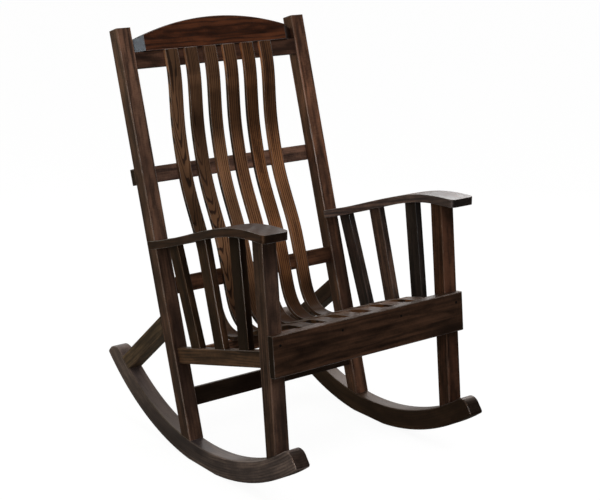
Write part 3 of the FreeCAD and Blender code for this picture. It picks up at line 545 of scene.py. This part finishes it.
# Tint of each board against the middle tone: its stain together with painted light and
# shade, such as the darkened front left spindle and rear stretcher and the grey sheen
# painted on the left rocker and the right arm.  The tints are set for this stage's lamps,
# so in another light the boards look less alike.
STAIN_AND_LIGHT_TINTS = {
    "apron": (0.66, 0.61, 0.57), "front_seat_rail": (1.2, 1.0, 0.8),
    "rear_seat_rail": (2.0, 1.8, 1.6), "rear_stretcher": (0.27, 0.34, 0.40),
    "lower_slat_rail": (1.26, 1.03, 0.86), "mid_slat_rail": (2.04, 2.11, 2.31),
    "upper_slat_rail": (1.08, 0.99, 1.01),
    "back_post_left": (2.07, 2.06, 2.09), "back_post_right": (2.25, 1.95, 1.75),
    "front_leg_left": (1.36, 1.45, 1.56), "front_leg_right": (0.95, 0.76, 0.68),
    "side_rail_left": (1.38, 1.41, 1.21), "side_rail_right": (1.7, 1.4, 1.0),
    "rear_brace_left": (2.21, 2.77, 2.50), "rear_brace_right": (0.64, 0.67, 0.67),
    "front_spindle_left": (0.17, 0.18, 0.18), "front_spindle_right": (0.45, 0.55, 0.65),
    "mid_spindle_left": (0.71, 0.65, 0.52), "mid_spindle_right": (1.58, 1.62, 1.60),
    "rear_spindle_left": (0.61, 0.59, 0.46), "rear_spindle_right": (0.85, 0.93, 1.00),
    "arm_left": (1.02, 0.94, 0.90), "arm_right": (2.80, 3.28, 3.96),
    "rocker_left": (2.38, 3.39, 4.62), "rocker_right": (0.74, 0.77, 0.69),
    "crest_rail": (0.76, 0.42, 0.21),
}

# Seeds of the grain: the first piece's of a row, and the step to the next.
BOARD_SEEDS = (3.1, 1.7)
ROCKER_SEEDS = (40.0, 3.7)
ARM_SEEDS = (50.0, 3.7)
CREST_SEED = 11.0

# Finish of the straight boards, and what differs on some of them.
BOARD_FINISH = {"figure": 0.16, "ring": 0.008, "pith": 0.06, "smudge": 0.8,
                "contrast": 1.8, "edge_rub_and_highlight": 0.08}
OWN_FINISH = {
    "apron": {"smudge": 1.0, "contrast": 1.3, "edge_rub_and_highlight": 0.6},
    "front_seat_rail": {"contrast": 1.0}, "rear_stretcher": {"contrast": 1.0},
    "back_post_left": {"edge_rub_and_highlight": 0.75}, "back_post_right": {"edge_rub_and_highlight": 0.75},
    "front_leg_left": {"edge_rub_and_highlight": 0.25}, "front_leg_right": {"edge_rub_and_highlight": 0.25},
}
ROCKER_FINISH = {"figure": 0.18, "ring": 0.007, "pith": 0.05, "smudge": 0.8,
                 "contrast": 1.1, "edge_rub_and_highlight": 0.2}
ARM_FINISH = {"figure": 0.2, "ring": 0.008, "pith": 0.05, "smudge": 0.8,
              "contrast": 1.5, "edge_rub_and_highlight": 0.8}
CREST_FINISH = {"figure": 0.30, "ring": 0.0045, "pith": 0.09, "smudge": 0.2,
                "contrast": 1.3, "wander": 0.012, "taper": 0.0, "ends": CREST_ENDS}

# Pieces whose finish has stayed clearer than the rest.
CLEAR = ("arm_right", "front_spindle_right", "mid_spindle_right", "rear_spindle_right",
         "crest_rail")


def seed_of(seeds, number):
    first, step = seeds
    return first + step * number


def finish_board(node, material, seed, lay, body, warm, **finish):
    """Gives a frame piece its own stained wood."""
    dress(node, stained_wood(material, seed, lay, body, warm, tint=STAIN_AND_LIGHT_TINTS[node],
                             clear=node in CLEAR, **finish))


class CHAIR_OT_frame(bpy.types.Operator):
    """Finish the posts, legs, rails, braces, arm slats and apron"""

    bl_idname = "chair.frame"
    bl_label = "Finish the frame"

    def execute(self, context):
        stain = context.scene.chair_stain
        lays = {}
        for side in SIDES:
            lays["back_post_" + side] = leaning(POST_LEAN)
            lays["front_leg_" + side] = leaning(LEG_LEAN)
            lays["side_rail_" + side] = leaning(RAIL_LEAN + 90.0)
            lays["rear_brace_" + side] = leaning(BRACE_LEAN + 90.0)
            for name, lean in SPINDLE_LEANS.items():
                lays["%s_%s" % (name, side)] = leaning(lean)
        for name in ("upper_slat_rail", "mid_slat_rail", "lower_slat_rail",
                     "rear_stretcher"):
            lays[name] = crosswise(POST_LEAN)
        for name in ("apron", "front_seat_rail"):
            lays[name] = crosswise(LEG_LEAN)
        lays["rear_seat_rail"] = crosswise(RAIL_LEAN)
        for number, (node, turn) in enumerate(sorted(lays.items())):
            finish_board(node, "wood_" + node, seed_of(BOARD_SEEDS, number),
                         ("straight", turn, middle_of(node)), stain.body, stain.warm,
                         **{**BOARD_FINISH, **OWN_FINISH.get(node, {})})
        return {"FINISHED"}


class CHAIR_OT_crest(bpy.types.Operator):
    """Finish the crest, with its grain across the chair"""

    bl_idname = "chair.crest"
    bl_label = "Finish the crest"

    def execute(self, context):
        stain = context.scene.chair_stain
        lay = ("straight", crosswise(POST_LEAN), middle_of("crest_rail"))
        finish_board("crest_rail", "wood_crest", CREST_SEED, lay, stain.slat_body,
                     stain.slat_warm, **CREST_FINISH)
        return {"FINISHED"}


# Lightness of the bent slats up their height, as (share of the way, lightness): rubbed
# stain together with painted shade and painted light that follow how each height of the
# bend turns to the light, set for this stage's lamps.  In order: the left slat, the
# next, and the other four.
HIGH_RUB_AND_SHADE = (
    (0.0, 0.07), (0.13, 0.09), (0.30, 0.08), (0.44, 0.065), (0.54, 0.15), (0.64, 0.34),
    (0.74, 0.38), (0.85, 0.47), (0.92, 1.0), (1.0, 1.0))
EVEN_RUB_AND_SHADE = (
    (0.0, 0.067), (0.13, 0.075), (0.23, 0.117), (0.33, 0.26), (0.44, 0.18), (0.54, 0.25),
    (0.64, 0.25), (0.74, 0.133), (0.85, 0.31), (0.90, 1.0), (1.0, 1.0))
RUB_AND_SHADE = (
    (0.0, 0.063), (0.13, 0.085), (0.23, 0.25), (0.33, 0.40), (0.44, 0.29), (0.54, 0.40),
    (0.64, 0.34), (0.72, 0.155), (0.82, 0.16), (0.88, 0.45), (0.93, 1.0), (1.0, 1.0))

# Figure of the slats: wild on the two at the left, and plain on the rest.
WILD = {"figure": 0.85, "contrast": 3.4, "ring": 0.0052}
PLAIN = {"figure": 0.50, "contrast": 2.5, "wander": 0.012, "taper": 0.0}

# Each slat: seed of its grain, how far to one side of it the heart of the tree lies, in
# metres, and its finish.  The tints are against the slat stain, and hold painted light:
# the bluer tints of the two slats at the left paint a grey sheen on them.
SLATS = (
    (22.3, 0.004, {
        **WILD, "tint": (5.4, 5.8, 6.9), "smudge": 0.55, "pith": 0.014,
        "taper": 0.09, "wander": 0.055, "rubbed": HIGH_RUB_AND_SHADE}),
    (24.6, -0.003, {
        **WILD, "tint": (5.2, 5.5, 6.5), "smudge": 0.60, "pith": 0.014,
        "taper": 0.08, "wander": 0.050, "rubbed": EVEN_RUB_AND_SHADE}),
    (26.9, 0.045, {
        **PLAIN, "tint": (4.4, 4.6, 5.3), "smudge": 0.50, "pith": 0.010,
        "ring": 0.0062, "rubbed": RUB_AND_SHADE}),
    (29.2, 0.050, {
        **PLAIN, "tint": (4.8, 4.6, 4.9), "smudge": 0.45, "pith": 0.012,
        "ring": 0.0066, "rubbed": RUB_AND_SHADE}),
    (31.5, -0.045, {
        **PLAIN, "tint": (5.1, 4.5, 4.2), "smudge": 0.30, "pith": 0.010,
        "ring": 0.0060, "wander": 0.011, "rubbed": RUB_AND_SHADE}),
    (33.8, 0.040, {
        **PLAIN, "tint": (5.1, 4.8, 4.9), "smudge": 0.30, "pith": 0.012,
        "ring": 0.0064, "rubbed": RUB_AND_SHADE}))


class CHAIR_OT_slats(bpy.types.Operator):
    """Finish the bent slats, with their figure along the bend"""

    bl_idname = "chair.slats"
    bl_label = "Finish the bent slats"

    def execute(self, context):
        stain = context.scene.chair_stain
        for number, (seed, beside, finish) in enumerate(SLATS, start=1):
            node = "bent_slat_%d" % number
            middle = Vector((middle_of(node).x + beside, 0.0, 0.0))
            dress(node, stained_wood(
                "wood_" + node, seed, ("bent", SLAT_BEND, middle), stain.slat_body,
                stain.slat_warm, **finish))
        return {"FINISHED"}


class CHAIR_OT_rockers(bpy.types.Operator):
    """Finish the rockers and the arms, with their grain along the bends"""

    bl_idname = "chair.rockers"
    bl_label = "Finish the rockers and arms"

    def execute(self, context):
        stain = context.scene.chair_stain
        bend = {"Centre Y": AXIS_Y, "Centre Z": AXIS_Z,
                "Mean Radius": ROCKER_MIDDLE, "Depth Share": 1.0}
        for number, side in enumerate(SIDES):
            node = "rocker_" + side
            middle = Vector((middle_of(node).x, 0.0, 0.0))
            finish_board(node, "wood_" + node, seed_of(ROCKER_SEEDS, number),
                         ("bent", bend, middle), stain.body, stain.warm, **ROCKER_FINISH)
            node = "arm_" + side
            lay = ("straight", leaning(RAIL_LEAN + 90.0), middle_of(node))
            finish_board(node, "wood_" + node, seed_of(ARM_SEEDS, number), lay,
                         stain.body, stain.warm, **ARM_FINISH)
        return {"FINISHED"}


# ------------------------------------------------------------------------ plugs
PLUG_SIDES = 24
# Insets of a plug's face, one after another: width as a share of the radius, and drop
# as a share of the rise.  The first eases the rim, and the others raise the crown.
CROWN = ((0.12, 0.25), (0.30, -0.35), (0.28, -0.15))
# A face looks up where its normal's Z is over this.
UPWARD = 0.9
# Shading is smooth up to this angle between faces.
SMOOTH_UNDER = math.radians(40)
# How light the plugs' end grain is against the stain, and its specks per metre.
PLUG_LIGHT = 0.15
PLUG_MARKS = 1400.0


def plug_wood():
    """Dark, dull end grain of the plugs, in fine specks."""
    stain = bpy.context.scene.chair_stain
    material = bpy.data.materials.new("plug_end_grain")
    w = cleared(material)
    place = w.add("ShaderNodeTexCoord").outputs["Object"]
    speck = w.noise(place, PLUG_MARKS, detail=2.0).outputs[0]
    colour = w.blend(w.spread(speck, 0.3, 0.7), (*stain.shadow, 1),
                     (*[PLUG_LIGHT * c for c in stain.body], 1))
    bump = w.add("ShaderNodeBump", {"Strength": 0.3, "Distance": 0.0003, "Height": speck})
    shader = w.add("ShaderNodeBsdfPrincipled", {
        "Base Color": colour, "Roughness": 0.6, "Specular IOR Level": 0.15,
        "Normal": bump.outputs[0]})
    w.show(shader.outputs[0])
    return material


def crowned_plug(name, spot, outward, material):
    """A round plug with an eased rim and a low crown, its face at the spot."""
    plugs = bpy.context.scene.chair_plugs
    depth = plugs.sunk + plugs.rise
    bpy.ops.object.select_all(action="DESELECT")
    bpy.ops.mesh.primitive_cylinder_add(
        vertices=PLUG_SIDES, radius=plugs.radius, depth=depth)
    plug = bpy.context.active_object
    plug.name = name
    mesh = plug.data
    mesh.name = name
    bpy.ops.object.mode_set(mode="EDIT")
    bpy.ops.mesh.select_mode(type="FACE")
    bpy.ops.mesh.select_all(action="DESELECT")
    bpy.ops.object.mode_set(mode="OBJECT")
    for face in mesh.polygons:
        face.select = face.normal.z > UPWARD
    bpy.ops.object.mode_set(mode="EDIT")
    for width, drop in CROWN:
        bpy.ops.mesh.inset(thickness=plugs.radius * width, depth=-plugs.rise * drop)
    bpy.ops.object.mode_set(mode="OBJECT")
    bpy.ops.object.shade_smooth_by_angle(angle=SMOOTH_UNDER)
    plug.rotation_euler = outward.to_track_quat("Z", "Y").to_euler()
    plug.location = spot + outward * (plugs.rise - depth / 2)
    bpy.ops.object.transform_apply(location=True, rotation=True, scale=True)
    mesh.materials.append(material)
    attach(plug, "root")


def upper_arris(node, lean, face):
    """Middle of a leaning board's upper arris, its face's normal, and down the face.

    The face is -1 for the front one and 1 for the rear one.
    """
    turn = math.radians(lean)
    low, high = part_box(node)
    rise, run = math.cos(turn), math.sin(turn)
    tall, wide = high.z - low.z, high.y - low.y
    thick = (wide * rise - tall * run) / (rise * rise - run * run)
    up = high.z if face < 0 else high.z - thick * run
    front = high.y - thick * rise if face < 0 else high.y
    return (Vector((0, front, up)), Vector((0, face * rise, -face * run)),
            Vector((0, -run, -rise)))


class CHAIR_OT_plugs(bpy.types.Operator):
    """Add the plugs of the apron and of the rail on the rear of the posts"""

    bl_idname = "chair.plugs"
    bl_label = "Add the plugs"

    def execute(self, context):
        plugs = context.scene.chair_plugs
        material = plug_wood()
        outer = middle_of("front_leg_right").x
        count = 0
        for node, lean, face, drop, across in (
                ("apron", LEG_LEAN, -1, plugs.drop,
                 (-outer, -plugs.inner, plugs.inner, outer)),
                ("mid_slat_rail", POST_LEAN, 1, plugs.rail_drop, (-outer, outer))):
            edge, outward, down = upper_arris(node, lean, face)
            for x in across:
                count += 1
                spot = edge + down * drop + Vector((x, 0, 0))
                crowned_plug("plug_%d" % count, spot, outward, material)
        return {"FINISHED"}


# ------------------------------------------------------------------------ stage
FLOOR_SIZE, FLOOR_BACK = 90.0, 20.0
# Level direction towards the back right.  The backdrop and the floor on that side are
# bright in reflections, and the room on the other side is dark: from how far along it,
# in metres on the floor and as a cosine in the air, to how far.
BEHIND = Vector((0.6, 0.8, 0.0))
FLOOR_DAWN = (-0.6, 0.2)
AIR_DAWN = (0.1, 0.7)
# What the floor shows: its own light to the eye, its tint in reflections, and its grey
# where it throws light back on the chair.
FLOOR_LIGHT = 1.10
FLOOR_TINT = (1.0, 0.90, 0.70)
FLOOR_GREY = (0.40, 0.40, 0.41)
WHITE = (1.0, 1.0, 1.0)
SENSOR_MM = 36.0

# What the lamps aim at, in metres.
CHAIR_MIDDLE = (0.0, 0.0, 0.6)
CREST_LEFT = (-0.27, 0.33, 1.03)
# Each lamp: the setting with its power, width and height, place, what it aims at, and
# what it shows on.  A lamp that isn't glossy shows in no reflection, and one that isn't
# matt shows in nothing else.
LAMPS = (
    ("key", (1.8, 1.4), (-0.2, -2.3, 3.2), CHAIR_MIDDLE, {"glossy": False}),
    ("back", (0.9, 0.9), (2.1, 1.4, 1.7), CHAIR_MIDDLE, {}),
    ("rear", (1.2, 1.2), (-2.6, 1.8, 1.8), CHAIR_MIDDLE, {"colour": (0.90, 0.97, 0.64)}),
    ("near", (0.7, 0.7), (-2.28, -2.3, 2.25), CREST_LEFT,
     {"matt": False, "colour": (0.74, 0.88, 1.0)}),
    ("strip", (0.25, 1.6), (-3.0, -1.9, 0.9), CHAIR_MIDDLE, {"matt": False}),
)


def floor_paint():
    """Pale floor that keeps a faint shadow, and is dim in reflections from the front."""
    stage = bpy.context.scene.chair_stage
    material = bpy.data.materials.new("floor_paint")
    w = cleared(material)
    seen = w.add("ShaderNodeLightPath").outputs
    away = w.dot(w.add("ShaderNodeNewGeometry").outputs["Position"], BEHIND)
    sheen = w.spread(away, *FLOOR_DAWN, stage.gloom, stage.floor_sheen)
    matt = w.add("ShaderNodeBsdfDiffuse", {"Color": (*stage.floor, 1)}).outputs[0]
    lift = w.add("ShaderNodeEmission", {
        "Color": (*WHITE, 1), "Strength": FLOOR_LIGHT}).outputs[0]
    shown = w.add("ShaderNodeMixShader", {0: stage.glow, 1: matt, 2: lift}).outputs[0]
    paper = w.add("ShaderNodeEmission", {
        "Color": (*FLOOR_TINT, 1), "Strength": sheen}).outputs[0]
    dull = w.add("ShaderNodeBsdfDiffuse", {"Color": (*FLOOR_GREY, 1)}).outputs[0]
    mirrored = w.add("ShaderNodeMixShader", {
        0: seen["Is Glossy Ray"], 1: dull, 2: paper}).outputs[0]
    whole = w.add("ShaderNodeMixShader", {
        0: seen["Is Camera Ray"], 1: mirrored, 2: shown}).outputs[0]
    w.show(whole)
    return material


def studio_air():
    """White all round to the eye, a soft fill, and a bright backdrop in reflections."""
    stage = bpy.context.scene.chair_stage
    world = bpy.data.worlds.new("studio")
    w = cleared(world)
    seen = w.add("ShaderNodeLightPath").outputs
    away = w.dot(w.add("ShaderNodeTexCoord").outputs["Generated"], BEHIND)
    sheen = w.spread(away, *AIR_DAWN, stage.gloom, stage.sheen)
    light = w.choose(seen["Is Glossy Ray"], stage.fill, sheen)
    full = w.choose(seen["Is Camera Ray"], light, 1.0)
    back = w.add("ShaderNodeBackground", {"Color": (*WHITE, 1), "Strength": full})
    w.show(back.outputs[0], "ShaderNodeOutputWorld")
    return world


def soft_lamp(name, power, size, spot, aim, glossy=True, matt=True, colour=WHITE):
    """A rectangular lamp, out of the camera's sight."""
    light = bpy.data.lights.new(name, "AREA")
    light.energy = power
    light.color = colour
    light.shape = "RECTANGLE"
    light.size, light.size_y = size
    holder = bpy.data.objects.new(name, light)
    bpy.context.collection.objects.link(holder)
    holder.location = spot
    toward = Vector(aim) - Vector(spot)
    holder.rotation_euler = toward.to_track_quat("-Z", "Y").to_euler()
    holder.visible_camera = False
    holder.visible_glossy = glossy
    holder.visible_diffuse = matt


def stand_camera():
    """The camera, level across, at the stand and angles of the settings."""
    stage = bpy.context.scene.chair_stage
    eye = bpy.data.cameras.new("camera")
    eye.sensor_width = SENSOR_MM
    eye.sensor_fit = "HORIZONTAL"
    eye.lens = stage.lens
    holder = bpy.data.objects.new("camera", eye)
    bpy.context.collection.objects.link(holder)
    holder.location = Vector(stage.stand) + Vector((0, AXIS_Y, 0))
    holder.rotation_euler = (math.pi / 2 + stage.pitch, 0, -stage.yaw)
    bpy.context.scene.camera = holder


class CHAIR_OT_stage(bpy.types.Operator):
    """Set the floor, the soft light and the camera"""

    bl_idname = "chair.stage"
    bl_label = "Set the stage"

    def execute(self, context):
        stage = context.scene.chair_stage
        bpy.ops.object.select_all(action="DESELECT")
        bpy.ops.mesh.primitive_plane_add(size=FLOOR_SIZE, location=(0, FLOOR_BACK, 0))
        floor = context.active_object
        floor.name = "floor"
        floor.data.materials.append(floor_paint())
        context.scene.world = studio_air()
        for name, size, spot, aim, shows in LAMPS:
            soft_lamp(name, getattr(stage, name), size, spot, aim, **shows)
        stand_camera()
        context.scene.view_settings.view_transform = "Standard"
        return {"FINISHED"}


class CHAIR_PT_panel(bpy.types.Panel):
    """The chair's operators and settings"""

    bl_idname = "CHAIR_PT_panel"
    bl_label = "Rocking chair"
    bl_space_type = "VIEW_3D"
    bl_region_type = "UI"
    bl_category = "Rocking Chair"

    def draw(self, context):
        for operator in OPERATORS:
            self.layout.operator(operator.bl_idname)
        for settings in (context.scene.chair_stain, context.scene.chair_plugs,
                         context.scene.chair_stage):
            box = self.layout.box()
            for name in settings.__annotations__:
                box.prop(settings, name)


OPERATORS = (CHAIR_OT_frame, CHAIR_OT_crest, CHAIR_OT_slats, CHAIR_OT_rockers,
             CHAIR_OT_plugs, CHAIR_OT_stage)
CLASSES = (ChairStain, ChairPlugs, ChairStage, *OPERATORS, CHAIR_PT_panel)


def register():
    for cls in CLASSES:
        bpy.utils.register_class(cls)
    bpy.types.Scene.chair_stain = bpy.props.PointerProperty(type=ChairStain)
    bpy.types.Scene.chair_plugs = bpy.props.PointerProperty(type=ChairPlugs)
    bpy.types.Scene.chair_stage = bpy.props.PointerProperty(type=ChairStage)


def unregister():
    del bpy.types.Scene.chair_stage
    del bpy.types.Scene.chair_plugs
    del bpy.types.Scene.chair_stain
    for cls in reversed(CLASSES):
        bpy.utils.unregister_class(cls)


def main():
    register()
    bpy.ops.chair.frame()
    bpy.ops.chair.crest()
    bpy.ops.chair.slats()
    bpy.ops.chair.rockers()
    bpy.ops.chair.plugs()
    bpy.ops.chair.stage()


if __name__ == "__main__":
    main()
